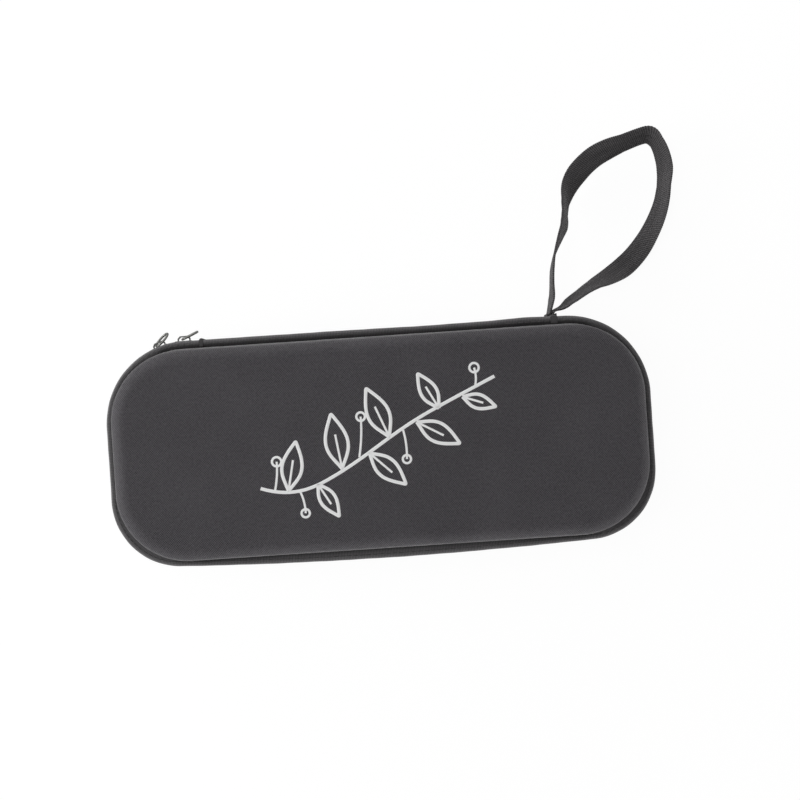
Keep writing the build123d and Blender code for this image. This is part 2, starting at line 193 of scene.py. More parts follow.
def ribbed_cloth(name, shades, pitch_mm, depth_mm, across_mm=None, slant=0.0, sheen=0.08, painted_crevice_shade=False):
    """Cloth with ribs across its length, on the piece's own cloth map. Slant turns the ribs; the last option
    paints shade beside the shell.
    """
    nap = {"Sheen_Weight": sheen, "Sheen_Roughness": 0.3, "Specular_IOR_Level": 0.25}
    m = new_surface(name, shades[1], 0.8, **nap)
    where = place_on(m, "cloth")
    length, girth, _ = node(m, "ShaderNodeSeparateXYZ", i0=where).outputs
    along = calc(m, "ADD", length, calc(m, "MULTIPLY", girth, slant))
    ribs = threads(m, along, pitch_mm)
    lines = threads(m, girth, across_mm or pitch_mm * 1.6)
    streak = cloud(m, where, 220, 3.0, (0.25, 2.5, 1.0))
    fuzz = cloud(m, where, 1500, 2.0)
    woven = calc(m, "MULTIPLY", ribs, calc(m, "MULTIPLY_ADD", lines, 0.5, 0.5))
    height = calc(m, "ADD", woven, calc(m, "MULTIPLY", fuzz, 0.35))
    uneven = calc(m, "MULTIPLY", calc(m, "ADD", streak, fuzz), 0.3)
    tint = calc(m, "ADD", calc(m, "MULTIPLY", ribs, 0.4), uneven)
    made = finish_surface(m, height, depth_mm, tint, shades)
    if painted_crevice_shade:
        # deep beside the shell on the long sides, open to the light on the rounded ends
        x, y, _ = node(m, "ShaderNodeSeparateXYZ", i0=place_on(m)).outputs
        front = calc(m, "MULTIPLY", calc(m, "LESS_THAN", y, 0.0), 0.8 * MM)
        eased = calc(m, "ADD", calc(m, "MULTIPLY", past(m, x, BAND_ENDS_FROM), 0.25), front)
        made = paint_shade_from(made, calc(m, "ADD", girth, eased), dark_mm=0.4, clear_mm=2.6, left=0.26)
    return made


def plain_cloth(name, shades, pitch_mm, depth_mm, sheen=0.12, rough=0.9, twist=0.0):
    """Knitted or woven cloth on Object coordinates."""
    m = new_surface(name, shades[1], rough, Sheen_Weight=sheen, Sheen_Roughness=0.6)
    where = place_on(m)
    turned = node(m, "ShaderNodeVectorRotate", rotation_type="Z_AXIS", i0=where)
    turned.inputs["Angle"].default_value = twist
    x, y, z = node(m, "ShaderNodeSeparateXYZ", i0=turned.outputs[0]).outputs
    side = calc(m, "ADD", y, z)
    knit = calc(m, "MULTIPLY", threads(m, x, pitch_mm), threads(m, side, pitch_mm * 1.3))
    fuzz = cloud(m, where, 1300, 3.0)
    worn = cloud(m, where, 40, 4.0)
    height = calc(m, "ADD", calc(m, "MULTIPLY", knit, 0.6), fuzz)
    uneven = calc(m, "MULTIPLY", calc(m, "ADD", worn, fuzz), 0.38)
    tint = calc(m, "ADD", calc(m, "MULTIPLY", knit, 0.25), uneven)
    return finish_surface(m, height, depth_mm, tint, shades)


def rubbed_surface(name, shades, rough, rubbed_scale, metallic=0.85):
    """Lacquered gunmetal, or moulded nylon where metallic is 0, paler where it rubs."""
    m = new_surface(name, shades[1], rough, Metallic=metallic)
    where = place_on(m)
    rubbed = cloud(m, where, rubbed_scale, 5.0)
    grain = cloud(m, where, 2500, 2.0)
    return finish_surface(m, grain, 0.02, rubbed, shades, (rough - 0.1, rough + 0.15))


SHELL_NYLON = shell_nylon()
# the zip tape and the hinge cloth have painted shade beside the shell
ZIP_TAPE = ribbed_cloth(
    "zip_tape_cloth", ((0.062, 0.06, 0.062), (0.156, 0.152, 0.156)),
    pitch_mm=0.8, depth_mm=0.1, across_mm=1.3, sheen=0.24, painted_crevice_shade=True,
)
HINGE_CLOTH = ribbed_cloth(
    "hinge_cloth", ((0.07, 0.067, 0.07), (0.164, 0.159, 0.163)),
    pitch_mm=0.8, depth_mm=0.1, across_mm=0.8, sheen=0.24, painted_crevice_shade=True,
)
# the seam cloth is darker than the hinge cloth: partly its own colour, partly painted shade at the ridges
# beside the band
SEAM_CLOTH = ribbed_cloth(
    "seam_cloth", ((0.028, 0.027, 0.028), (0.08, 0.077, 0.079)), pitch_mm=0.7, depth_mm=0.1, across_mm=0.7
)
WEBBING = ribbed_cloth(
    "strap_webbing", ((0.0215, 0.0203, 0.0215), (0.105, 0.1, 0.103)),
    pitch_mm=1.05, depth_mm=0.28, across_mm=1.5, slant=0.22, sheen=0.22,
)
KNIT_LINING = plain_cloth(
    "knit_lining", ((0.014, 0.014, 0.015), (0.042, 0.042, 0.045)),
    pitch_mm=0.9, depth_mm=0.15, sheen=0.5, rough=0.95, twist=0.6,
)
BIAS_TAPE = ribbed_cloth(
    "bias_tape", ((0.013, 0.013, 0.014), (0.036, 0.036, 0.038)), pitch_mm=0.6, depth_mm=0.08
)
ELASTIC = ribbed_cloth(
    "ribbed_elastic", ((0.01, 0.01, 0.012), (0.042, 0.042, 0.045)), pitch_mm=1.4, depth_mm=0.35, across_mm=0.9
)
THREAD = plain_cloth(
    "sewing_thread", ((0.03, 0.029, 0.03), (0.085, 0.081, 0.082)), pitch_mm=0.3, depth_mm=0.05
)
NET_CORD = plain_cloth(
    "net_cord", ((0.01, 0.01, 0.011), (0.03, 0.03, 0.032)), pitch_mm=0.4, depth_mm=0.05
)
PRINT_INK = plain_cloth(
    "print_ink", ((0.93, 0.93, 0.93), (0.97, 0.97, 0.97)), pitch_mm=0.9, depth_mm=0.03, sheen=0.0, rough=0.6
)
COIL_NYLON = rubbed_surface(
    "coil_nylon", ((0.01, 0.01, 0.01), (0.03, 0.03, 0.03)), rough=0.42, rubbed_scale=300, metallic=0.0
)
SLIDER_METAL = rubbed_surface(
    "slider_gunmetal", ((0.035, 0.035, 0.033), (0.09, 0.09, 0.086)), rough=0.38, rubbed_scale=420
)
PULL_WIRE = rubbed_surface(
    "pull_wire", ((0.09, 0.09, 0.084), (0.21, 0.21, 0.2)), rough=0.34, rubbed_scale=380
)

for cad_name, material in {
    "lid_shell": SHELL_NYLON,
    "base_shell": SHELL_NYLON,
    "slider_1": SLIDER_METAL,
    "slider_1_bridge": SLIDER_METAL,
    "slider_2": SLIDER_METAL,
    "slider_2_bridge": SLIDER_METAL,
    "pull_1": PULL_WIRE,
    "pull_2": PULL_WIRE,
}.items():
    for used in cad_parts[cad_name].material_slots:
        used.material = material


# ---------------------------------------------------------------- the line of the zip band
def band_pieces():
    """The band's outline as lines and arcs, anticlockwise from the right of the back, in mm."""
    back, front, end = BACK_CORNER_X, FRONT_CORNER_X, BAND_HALF_X
    side_y = FRONT_BOW_Y - math.sqrt((FRONT_BOW_R - FRONT_CORNER_R) ** 2 - front**2)
    lean = math.degrees(math.atan2(front, FRONT_BOW_Y - side_y))
    return [
        ("line", (back, BACK_Y), (-back, BACK_Y)),
        ("arc", (-back, BACK_CORNER_Y), BACK_CORNER_R, 90.0, 180.0),
        ("line", (-end, BACK_CORNER_Y), (-end, side_y)),
        ("arc", (-front, side_y), FRONT_CORNER_R, 180.0, 270.0 - lean),
        ("arc", (0.0, FRONT_BOW_Y), FRONT_BOW_R, 270.0 - lean, 270.0 + lean),
        ("arc", (front, side_y), FRONT_CORNER_R, 270.0 + lean, 360.0),
        ("line", (end, side_y), (end, BACK_CORNER_Y)),
        ("arc", (back, BACK_CORNER_Y), BACK_CORNER_R, 0.0, 90.0),
    ]


def piece_length(piece):
    """How long one line or arc of the outline is, in mm."""
    if piece[0] == "line":
        return math.dist(piece[1], piece[2])
    return piece[2] * math.radians(piece[4] - piece[3])


BAND = band_pieces()
BAND_LENGTH = sum(piece_length(p) for p in BAND)
# the zip runs the long way round, between its ends on the back
ZIP_START = BACK_CORNER_X - ZIP_LEFT_X
ZIP_END = BAND_LENGTH + BACK_CORNER_X - ZIP_RIGHT_X


def band_at(s):
    """The point and outward direction at this distance round the band."""
    s = s % BAND_LENGTH
    for piece in BAND:
        length = piece_length(piece)
        if s <= length:
            break
        s -= length
    if piece[0] == "line":
        ax, ay = piece[1]
        bx, by = piece[2]
        dx, dy = (bx - ax) / length, (by - ay) / length
        return (ax + dx * s, ay + dy * s), (dy, -dx)
    a = math.radians(piece[3]) + s / piece[2]
    nx, ny = math.cos(a), math.sin(a)
    return (piece[1][0] + nx * piece[2], piece[1][1] + ny * piece[2]), (nx, ny)


def out_from_rim(point):
    """How far a point is outside the shells' rim."""
    x = abs(point[0]) - RIM[0] / 2 + RIM[2]
    y = abs(point[1]) - RIM[1] / 2 + RIM[2]
    return math.hypot(max(x, 0), max(y, 0)) + min(max(x, y), 0) - RIM[2]


ON_BACK_FROM_Y = 30


def on_back(y):
    """True along the band's back, where the zip's ends and the sliders are."""
    return y > ON_BACK_FROM_Y


def add_object(name, data, *materials):
    """Puts a mesh, a curve, a lamp or a camera in the scene, at the origin."""
    made = bpy.data.objects.new(name, data)
    bpy.context.scene.collection.objects.link(made)
    for material in materials:
        data.materials.append(material)
    return made


SHARP_FROM = math.radians(40)


def smooth(mesh):
    """Shades a mesh smooth, but for edges that bend more than SHARP_FROM."""
    mesh.polygons.foreach_set("use_smooth", [True] * len(mesh.polygons))
    mesh.set_sharp_from_angle(angle=SHARP_FROM)


def loft_mesh(name, rings, lengths, closed=False):
    """A tube of equal closed rings of points in mm, with a cloth map in metres: length, girth."""
    count, girth = len(rings), len(rings[0])
    flat = np.array(rings, float) * MM
    mesh = bpy.data.meshes.new(name)
    faces, maps = [], []
    steps = np.linalg.norm(np.roll(flat, -1, axis=1) - flat, axis=2)
    around = np.concatenate([np.zeros((count, 1)), np.cumsum(steps, axis=1)], axis=1)
    for i in range(count if closed else count - 1):
        j = (i + 1) % count
        u0, u1 = lengths[i] * MM, lengths[i + 1] * MM
        for k in range(girth):
            m = (k + 1) % girth
            faces.append((i * girth + k, i * girth + m, j * girth + m, j * girth + k))
            maps += [(u0, around[i][k]), (u0, around[i][k + 1]), (u1, around[j][k + 1]), (u1, around[j][k])]
    if not closed:
        for i, order in ((0, range(girth - 1, -1, -1)), (count - 1, range(girth))):
            faces.append(tuple(i * girth + k for k in order))
            maps += [(lengths[i] * MM, around[i][k]) for k in order]
    mesh.from_pydata(flat.reshape(-1, 3).tolist(), [], faces)
    layer = mesh.uv_layers.new(name="cloth")
    layer.data.foreach_set("uv", np.array(maps, np.float32).ravel())
    turn_outwards(mesh)
    smooth(mesh)
    return mesh


def turn_outwards(mesh):
    """Makes every face of a closed mesh point outwards."""
    work = bmesh.new()
    work.from_mesh(mesh)
    bmesh.ops.recalc_face_normals(work, faces=work.faces)
    work.to_mesh(mesh)
    work.free()


def band_loft(name, start, end, step, section, closed=False):
    """Cloth that follows the band: section(s, reach) gives (out, up) points in mm at s."""
    count = max(2, round((end - start) / step))
    lengths = [start + (end - start) * i / count for i in range(count + 1)]
    rings = []
    for s in lengths[:-1] if closed else lengths:
        (x, y), (nx, ny) = band_at(s)
        ring = section(s, out_from_rim((x, y)))
        rings.append([(x + nx * n, y + ny * n, PARTING + z) for n, z in ring])
    return loft_mesh(name, rings, lengths, closed)


# ---------------------------------------------------------------- zip tapes, hinge and bindings
# Sections are (out, up) in mm: out from the band's outer edge, and up from the parting.
FLANGE_OUT = -0.8  # the shells' flanges end this far in from the cloth that rolls over them
LEAF_OUT = -1.9  # and the cloth's upper leaf lies on the flange from here inwards
FLANGE_UP, LEAF_UP = 7.1, 7.22
WEB_OUT = (-2.72, -3.35)  # the two faces of the tape's web, which carries the coil
WEB_UP, WEB_UP_PARKED = 1.35, 4.3  # where the web ends, and where it does beside the sliders
TAPE_CLEAR = 0.45  # the tapes stop this far short of the shells' rim
TAPE_STEP, BINDING_STEP = 1.0, 1.5  # how closely the sections follow each other
ROLL_OUT = 0.9  # the roll at the cloth's edge takes up this much before its leaf starts
# How high the leaf lies, from the band's edge inwards to the leaf's own edge.
LEAF_SHARES = (0.0, 0.2, 0.45, 0.65, 1.0)
LEAF_RISES = (7.95, 8.0, 7.86, 7.66, 7.3)


def leaf_height(out, reach):
    """How high a leaf that reaches in this far lies at one place, up from the parting."""
    share = (-out - ROLL_OUT) / (reach - ROLL_OUT)
    return float(np.interp(share, LEAF_SHARES, LEAF_RISES))


def roll_over_flange(reach):
    """The outer face of the cloth that rolls over a flange, from its inner edge outwards."""
    ring = [(-reach, LEAF_UP)]
    ring += [(n, leaf_height(n, reach)) for n in np.linspace(-reach, -1.0, 8)]
    return ring + [(-0.62, 7.66), (-0.3, 7.3), (-0.08, 6.8), (0.0, 6.2)]


def slack(s, size=1.0):
    """The small unevenness that sewn cloth has along its length."""
    return size * (0.06 * math.sin(s / 5.3) + 0.05 * math.sin(s / 2.1 + 1) + 0.04 * math.sin(s / 13 + 2))


def tape_section(side):
    """One zip tape: a leaf over the flange, a roll at the edge and a web down to the coil."""

    def section(s, reach):
        x, y = band_at(s)[0]
        parked = side > 0 and on_back(y) and SLIDER_SLOT[0] < x < SLIDER_SLOT[1]
        web = WEB_UP_PARKED if parked else WEB_UP
        ease = slack(s) * 0.5
        ring = [(n + ease, z + ease) for n, z in roll_over_flange(reach - TAPE_CLEAR)]
        ring += [(-0.02 + ease, 5.7), (-0.25, 5.15), (FLANGE_OUT, 4.7), (-1.6, 4.5), (WEB_OUT[0], 4.48)]
        ring += [(WEB_OUT[0], web), (WEB_OUT[1], web), (WEB_OUT[1], 4.6), (-3.4, 5.15)]
        ring += [(LEAF_OUT, 5.16), (FLANGE_OUT, 5.3), (FLANGE_OUT, FLANGE_UP), (LEAF_OUT, LEAF_UP)]
        return [(n, z * side) for n, z in ring]

    return section


HINGE_LEAF = 3.7  # how far the hinge cloth reaches in over the flanges
HINGE_WALL_UP = 5.6  # its wall stands free of the flanges up to here


def bulge(x, height, middle, width):
    """A smooth swelling along the hinge, at its highest in the middle."""
    return height * math.exp(-(((x - middle) / width) ** 2))


def hinge_section(x):
    """The hinge cloth's section here: it swells towards the strap and sinks a little beside that."""
    ease = slack(x, 0.8)
    swell = bulge(x, 0.5, 80, 12) - bulge(x, 0.3, 25, 30) + ease * 0.6
    top = [(n + swell, z + ease * 0.4) for n, z in roll_over_flange(HINGE_LEAF)]
    wall_up = np.linspace(HINGE_WALL_UP, -HINGE_WALL_UP, 25)
    wall = [(swell - 0.3 * math.cos(math.radians(z * 15)) ** 2, z) for z in wall_up]
    outer = top + wall + [(n, -z) for n, z in reversed(top)]
    inner = [(LEAF_OUT, -LEAF_UP), (FLANGE_OUT, -FLANGE_UP)]
    for z in np.linspace(-HINGE_WALL_UP, HINGE_WALL_UP, 23):
        inner.append((FLANGE_OUT - 0.2 if abs(z) < 5 else FLANGE_OUT, z))
    inner += [(FLANGE_OUT, FLANGE_UP), (LEAF_OUT, LEAF_UP)]
    return outer + inner


def put_on(piece, body, replaced):
    """Sets a finished piece on its body, and in the place of the plain solid that it stands for."""
    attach(piece, body)
    if replaced:
        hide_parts(replaced)
    return piece


for side, body, cad_name in ((1, "lid", "zip_tape_upper"), (-1, "base", "zip_tape_lower")):
    mesh = band_loft(cad_name + "_cloth", ZIP_START, ZIP_END, TAPE_STEP, tape_section(side))
    put_on(add_object(cad_name + "_cloth", mesh, ZIP_TAPE), body, cad_name)


def straight_ring(x, ring):
    """A section of (out, up) points placed on the band's straight back."""
    return [(x, BACK_Y + n, PARTING + z) for n, z in ring]


HINGE_STEPS = 180
hinge_xs = [
    HINGE_RIGHT_X + (HINGE_LEFT_X - HINGE_RIGHT_X) * i / HINGE_STEPS for i in range(HINGE_STEPS + 1)
]
hinge_rings = [straight_ring(x, hinge_section(x)) for x in hinge_xs]
hinge_lengths = [HINGE_RIGHT_X - x for x in hinge_xs]
hinge_cloth = add_object("hinge_cloth", loft_mesh("hinge_cloth", hinge_rings, hinge_lengths), HINGE_CLOTH)
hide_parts("hinge_strip")
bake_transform(hinge_cloth)

# the flat tape that covers the hinge inside
INNER_TAPE_OUT, INNER_TAPE_IN = -3.72, -4.28
inner_up = np.linspace(-4.4, 4.4, 19)
inner_ring = [(INNER_TAPE_OUT, z) for z in inner_up] + [(INNER_TAPE_IN, z) for z in reversed(inner_up)]
inner_rings = [straight_ring(x, inner_ring) for x in hinge_xs]
inner_mesh = loft_mesh("hinge_inner_tape", inner_rings, hinge_lengths)
hinge_tape = add_object("hinge_inner_tape", inner_mesh, BIAS_TAPE)
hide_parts("hinge_lining")
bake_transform(hinge_tape)


BINDING_OUT = -3.65  # the binding's outer edge
BINDING_REACH = 3.82  # and how far it reaches in past the shells' rim


def binding_section(side):
    """The flat tape that binds the mouth's edge, all round."""

    def section(_, reach):
        edge = -(reach + BINDING_REACH)
        ring = [(BINDING_OUT, 4.95), (-3.9, 5.13), (edge + 0.4, 5.13), (edge, 4.95), (edge, 4.75)]
        ring += [(edge + 0.5, 4.52), ((edge + BINDING_OUT) / 2, 4.46), (-4.1, 4.52), (BINDING_OUT, 4.7)]
        return [(n, z * side) for n, z in ring]

    return section


for side, body, cad_name in ((1, "lid", "lid_binding"), (-1, "base", "base_binding")):
    section = binding_section(side)
    mesh = band_loft(cad_name + "_tape", 0, BAND_LENGTH, BINDING_STEP, section, closed=True)
    put_on(add_object(cad_name + "_tape", mesh, BIAS_TAPE), body, cad_name)


# ---------------------------------------------------------------- repeats: coil turns, stitches, net
def new_tree(name, **inputs):
    """An empty tree with these named inputs and one output, the finished piece."""
    tree = bpy.data.node_groups.new(name, "GeometryNodeTree")
    for label, kind in inputs.items():
        socket_type = "NodeSocket" + kind
        tree.interface.new_socket(label.replace("_", " "), in_out="INPUT", socket_type=socket_type)
    tree.interface.new_socket("Made", in_out="OUTPUT", socket_type="NodeSocketGeometry")
    return tree


def repeat_tree(name, material):
    """Places a piece on every point, turned by the point's own turn, and makes it real."""
    tree = new_tree(name, Points="Geometry", Piece="Object", Size="Float")
    add = tree.nodes.new
    start, end = add("NodeGroupInput"), add("NodeGroupOutput")
    piece, spread = add("GeometryNodeObjectInfo"), add("GeometryNodeInstanceOnPoints")
    turn, euler = add("GeometryNodeInputNamedAttribute"), add("FunctionNodeEulerToRotation")
    real, paint = add("GeometryNodeRealizeInstances"), add("GeometryNodeSetMaterial")
    turn.data_type = "FLOAT_VECTOR"
    turn.inputs["Name"].default_value = "turn"
    paint.inputs["Material"].default_value = material
    link = tree.links.new
    link(start.outputs["Points"], spread.inputs["Points"])
    link(start.outputs["Piece"], piece.inputs["Object"])
    link(piece.outputs["Geometry"], spread.inputs["Instance"])
    link(start.outputs["Size"], spread.inputs["Scale"])
    link(turn.outputs["Attribute"], euler.inputs[0])
    link(euler.outputs[0], spread.inputs["Rotation"])
    link(spread.outputs[0], real.inputs[0])
    link(real.outputs[0], paint.inputs[0])
    link(paint.outputs[0], end.inputs[0])
    return tree


def net_tree(name, material):
    """Turns the edges of a net drawing into flat knitted cords that lie level."""
    tree = new_tree(name, Drawing="Geometry", Cord_width="Float", Half_thickness="Float")
    add = tree.nodes.new
    start, end = add("NodeGroupInput"), add("NodeGroupOutput")
    lines, level = add("GeometryNodeMeshToCurve"), add("GeometryNodeSetCurveNormal")
    profile, tube = add("GeometryNodeCurvePrimitiveQuadrilateral"), add("GeometryNodeCurveToMesh")
    real, paint = add("GeometryNodeRealizeInstances"), add("GeometryNodeSetMaterial")
    level.mode = "Z_UP"
    profile.mode = "KITE"
    tube.inputs["Fill Caps"].default_value = True
    paint.inputs["Material"].default_value = material
    link = tree.links.new
    link(start.outputs["Drawing"], lines.inputs[0])
    link(start.outputs["Cord width"], profile.inputs["Width"])
    link(start.outputs["Half thickness"], profile.inputs["Bottom Height"])
    link(start.outputs["Half thickness"], profile.inputs["Top Height"])
    link(lines.outputs[0], level.inputs[0])
    link(level.outputs[0], tube.inputs["Curve"])
    link(profile.outputs[0], tube.inputs["Profile Curve"])
    link(tube.outputs[0], real.inputs[0])
    link(real.outputs[0], paint.inputs[0])
    link(paint.outputs[0], end.inputs[0])
    return tree


def grow(name, drawing, tree, **sizes):
    """Runs a tree on a drawing and returns its result as a plain piece."""
    holder = add_object(name + "_drawing", drawing)
    change = holder.modifiers.new("grow", "NODES")
    change.node_group = tree
    inputs = [item for item in tree.interface.items_tree if item.in_out == "INPUT"]
    sockets = {item.name: item.identifier for item in inputs}
    for label, value in sizes.items():
        change[sockets[label.replace("_", " ")]] = value
    bpy.context.view_layer.update()
    ready = holder.evaluated_get(bpy.context.evaluated_depsgraph_get())
    mesh = bpy.data.meshes.new_from_object(ready)
    bpy.data.objects.remove(holder)
    mesh.name = name
    return add_object(name, mesh)


def point_mesh(name, points, turns):
    """Loose points in mm, each with the turn that a repeated piece takes there."""
    mesh = bpy.data.meshes.new(name)
    mesh.from_pydata([tuple(np.array(p) * MM) for p in points], [], [])
    turn = mesh.attributes.new("turn", "FLOAT_VECTOR", "POINT")
    turn.data.foreach_set("vector", np.array(turns, np.float32).ravel())
    return mesh


def tube_mesh(name, line, radius):
    """A capped round rod along a few points in mm."""
    rings = []
    line = [Vector(p) for p in line]
    for i, p in enumerate(line):
        way = (line[min(i + 1, len(line) - 1)] - line[max(i - 1, 0)]).normalized()
        side = way.orthogonal() if abs(way.x) > 0.9 else way.cross(Vector((1, 0, 0)))
        side.normalize()
        other = way.cross(side)
        rings.append([
            tuple(p + (side * math.cos(a) + other * math.sin(a)) * radius)
            for a in np.linspace(0, 2 * math.pi, ROD_SIDES, endpoint=False)
        ])
    return loft_mesh(name, rings, list(range(len(rings))))


# One turn of the coil, as (along, out, up): from the web down round its head and back up.
COIL_TURN = (
    (-0.3, -2.26, 2.75), (-0.25, -2.26, 1.1), (-0.14, -2.1, 0.7), (0.0, -1.55, 0.53),
    (0.14, -1.0, 0.7), (0.25, -0.86, 1.1), (0.3, -0.86, 2.75),
)
COIL_RADIUS, THREAD_RADIUS, ROD_SIDES = 0.3, 0.24, 6
COIL_PITCH, CORE_STEP = 1.25, 1.5
COIL_FROM, COIL_TO = ZIP_START + 1.0, ZIP_END - 1.0
# The turns left out: above, from the slot to the zip's end; below, between the two sliders.
TURNS_LEFT_OUT = {1: (SLIDER_SLOT[0], ZIP_LEFT_X), -1: (-112.0, -101.0)}
COIL_RESUMES = 217.9  # how far round the band the upper coil's cord starts, past the slot
coil_turn = add_object("coil_turn", tube_mesh("coil_turn", COIL_TURN, COIL_RADIUS))
coil_tree = repeat_tree("coil_turns", COIL_NYLON)


def coil_points(side, shift):
    """Where one coil's turns are, and how each is turned to follow the band."""
    points, turns = [], []
    from_x, to_x = TURNS_LEFT_OUT[side]
    s = COIL_FROM + shift
    while s < COIL_TO:
        (x, y), (nx, ny) = band_at(s)
        if not (on_back(y) and from_x < x < to_x):
            points.append((x, y, PARTING))
            turns.append((0, 0, math.atan2(-nx, ny)))
        s += COIL_PITCH
    return points, turns


def mirrored(mesh, name):
    """A copy turned upside down, for the base."""
    made = mesh.copy()
    made.name = name
    made.transform(Matrix.Diagonal((1, 1, -1, 1)))
    turn_outwards(made)
    return made


def core_section(side):
    """The cord that a coil's turns are wound on."""
    ring = [(-1.2, 1.0), (-1.9, 1.0), (-2.0, 1.3), (-2.0, 2.4), (-1.1, 2.4), (-1.1, 1.3)]
    return lambda s, reach: [(n, z * side) for n, z in ring]


coil_turn_down = add_object("coil_turn_down", mirrored(coil_turn.data, "coil_turn_down"))
for side, body, cad_name, shift, master, core_start in (
    (1, "lid", "zip_coil_upper", 0.0, coil_turn, COIL_RESUMES),
    (-1, "base", "zip_coil_lower", COIL_PITCH / 2, coil_turn_down, COIL_FROM),
):
    drawing = point_mesh(cad_name, *coil_points(side, shift))
    coil = grow(cad_name + "_turns", drawing, coil_tree, Piece=master, Size=1.0)
    put_on(coil, body, cad_name)
    core_mesh = band_loft(cad_name + "_core", core_start, COIL_TO, CORE_STEP, core_section(side))
    put_on(add_object(cad_name + "_core", core_mesh, COIL_NYLON), body, cad_name)

# One stitch, which dips into the cloth at both ends.
STITCH = ((-1.25, 0, -0.2), (-1.0, 0, 0.02), (0, 0, 0.12), (1.0, 0, 0.02), (1.25, 0, -0.2))
STITCH_SPACING = 3.4
STITCH_OUT, STITCH_PROUD = -2.3, 0.06  # the row's place on the leaf, and how far it lies above it
ROW_SHORT = 2  # a row stops this far short of the cloth's ends
stitch = add_object("stitch", tube_mesh("stitch", STITCH, THREAD_RADIUS))
stitch_tree = repeat_tree("stitches", THREAD)


def band_stitches(side, start, end):
    """A row of stitches that lie on the cloth's leaf, each along the band."""
    points, turns = [], []
    s = start
    while s < end:
        (x, y), (nx, ny) = band_at(s)
        rise = leaf_height(STITCH_OUT, out_from_rim((x, y)) - TAPE_CLEAR) + STITCH_PROUD
        points.append((x + nx * STITCH_OUT, y + ny * STITCH_OUT, PARTING + side * rise))
        turns.append((0, 0, math.atan2(-nx, ny)))
        s += STITCH_SPACING
    return points, turns


zip_row = (ZIP_START + ROW_SHORT, ZIP_END - ROW_SHORT)
hinge_row = (BACK_CORNER_X - HINGE_RIGHT_X + ROW_SHORT, BACK_CORNER_X - HINGE_LEFT_X - ROW_SHORT)
for name, body, side, row_ends, slot in (
    ("lid_tape_stitches", "lid", 1, zip_row, "zip_tape"),
    ("base_tape_stitches", "base", -1, zip_row, "zip_tape"),
    ("lid_hinge_stitches", "lid", 1, hinge_row, "hinge_fabric"),
    ("base_hinge_stitches", "base", -1, hinge_row, "hinge_fabric"),
):
    drawing = point_mesh(name, *band_stitches(side, *row_ends))
    put_on(grow(name, drawing, stitch_tree, Piece=stitch, Size=1.0), body, None)


# ---------------------------------------------------------------- seam ridges and the strap's root
def joined(name, meshes, *materials):
    """One piece made of several meshes."""
    work = bmesh.new()
    for mesh in meshes:
        work.from_mesh(mesh)
    made = bpy.data.meshes.new(name)
    work.to_mesh(made)
    work.free()
    smooth(made)
    return add_object(name, made, *materials)


# A ridge from the parting outwards: how far up, and how much it is drawn in there.
RIDGE_STEPS = (
    (0.25, 0.06), (0.6, 0.0), (2.5, 0.02), (4.5, 0.0), (6.3, 0.03),
    (7.2, 0.12), (7.27, 0.14), (7.7, 0.3), (7.98, 0.6),
)
RIDGE_CLEAR = 0.1  # room beside the tapes on either side
RIDGE_PROUD = 0.9  # how far it stands out from the band
RIDGE_BACK = 0.72  # how far it goes in behind the band's face
FLAP_UP, FLAP_IN = 7.25, 3.9  # above this height it folds in over the flange, this far


def ridge_mesh(x0, x1, side):
    """A folded strip sewn over the end of a zip: it stands proud and rounds over at its top."""
    rings, lengths = [], []
    for rise, pinch in RIDGE_STEPS:
        a, b = x0 + RIDGE_CLEAR + pinch * 0.2, x1 - RIDGE_CLEAR - pinch * 0.2
        back = BACK_Y - (RIDGE_BACK if rise < FLAP_UP else FLAP_IN - pinch)
        front = BACK_Y + RIDGE_PROUD - pinch
        bend = min(RIDGE_PROUD, (b - a) / 2)
        corner = [(bend * math.cos(t), bend * math.sin(t)) for t in np.linspace(0, math.pi / 2, 6)]
        ring = [(a, back)]
        ring += [(a + bend - c, front - bend + d) for c, d in corner]
        ring += [((a + b) / 2, front + 0.02)]
        ring += [(b - bend + d, front - bend + c) for c, d in corner]
        ring += [(b, back)]
        rings.append([(x, y, PARTING + side * rise) for x, y in ring])
        lengths.append(rise)
    return loft_mesh("ridge", rings, lengths)


for side, body, cad_name in ((1, "lid", "lid_seam_ridges"), (-1, "base", "base_seam_ridges")):
    pair = [ridge_mesh(ZIP_LEFT_X, HINGE_LEFT_X, side), ridge_mesh(HINGE_RIGHT_X, ZIP_RIGHT_X, side)]
    put_on(joined(cad_name + "_cloth", pair, SEAM_CLOTH), body, cad_name)

ROOT_LEFT, ROOT_RIGHT = 91.9, 97.4
ROOT_BACK, ROOT_FRONT = 60.32, 61.5
ROOT_LOW, ROOT_TALL = 11.4, 13.2
ROOT_WALL = 0.7  # the folded cloth on either side of the strap's two ends
ROOT_STEPS = 22


def root_ring(z):
    """The strap's root at this height, drawn in at its top and bottom."""
    tuck = 0.25 * (abs(z - ROOT_LOW - ROOT_TALL / 2) / (ROOT_TALL / 2)) ** 6
    left, right, front = ROOT_LEFT + tuck, ROOT_RIGHT - tuck, ROOT_FRONT - tuck * 0.6
    soft, wall, fold = 0.12, ROOT_WALL, ROOT_WALL - 0.12
    ring = [(left, ROOT_BACK), (left, front - 0.25), (left + soft, front), (left + fold, front)]
    ring += [(left + wall, front - 0.2), (left + wall, ROOT_BACK + wall)]
    ring += [(right - wall, ROOT_BACK + wall), (right - wall, front - 0.2)]
    ring += [(right - fold, front), (right - soft, front), (right, front - 0.25), (right, ROOT_BACK)]
    return [(x, y, z) for x, y in ring]


root_heights = [ROOT_LOW + ROOT_TALL * i / ROOT_STEPS for i in range(ROOT_STEPS + 1)]
root_mesh = loft_mesh("root", [root_ring(z) for z in root_heights], [z - ROOT_LOW for z in root_heights])
put_on(joined("strap_root_tab", [root_mesh], SEAM_CLOTH), "base", "strap_root")


# ---------------------------------------------------------------- linings
CORNER_STEPS = 14
LONG_STEPS, END_STEPS = 40, 16  # along the front and back, and along the two ends


